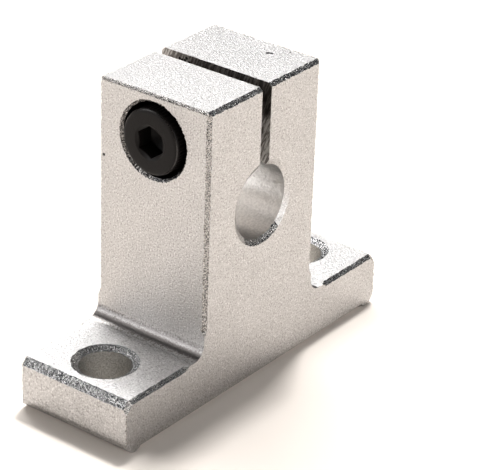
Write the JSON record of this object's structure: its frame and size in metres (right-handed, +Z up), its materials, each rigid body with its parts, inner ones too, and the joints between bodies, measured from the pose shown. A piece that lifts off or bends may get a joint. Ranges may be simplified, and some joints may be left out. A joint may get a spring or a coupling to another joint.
{
  "type": "shaft support block",
  "caption": "Upright aluminium shaft support: a T-shaped block whose slotted bore is closed on a round shaft by a side cap screw, bolted down through its feet.",
  "frame": {"origin": "middle of the mounting face under the shaft's axis", "axes": "+X along the base away from the screw's head, +Y along the shaft, +Z up from the mounting face"},
  "size_m": [0.042, 0.014, 0.0328],
  "materials": {
    "blasted_aluminium": "fine blasted, clear",
    "black_oxide_steel": "black oxide, lightly oiled"
  },
  "bodies": {
    "block": {"support_block": "blasted_aluminium"},
    "screw": {"clamp_screw": "black_oxide_steel"}
  },
  "joints": [
    {"name": "clamp_screw_turn", "type": "hinge", "parent": "block", "child": "screw", "pos_m": [-0.0055, 0, 0.0278], "axis": [-1, 0, 0], "range_deg": [0, 2945]}
  ]
}
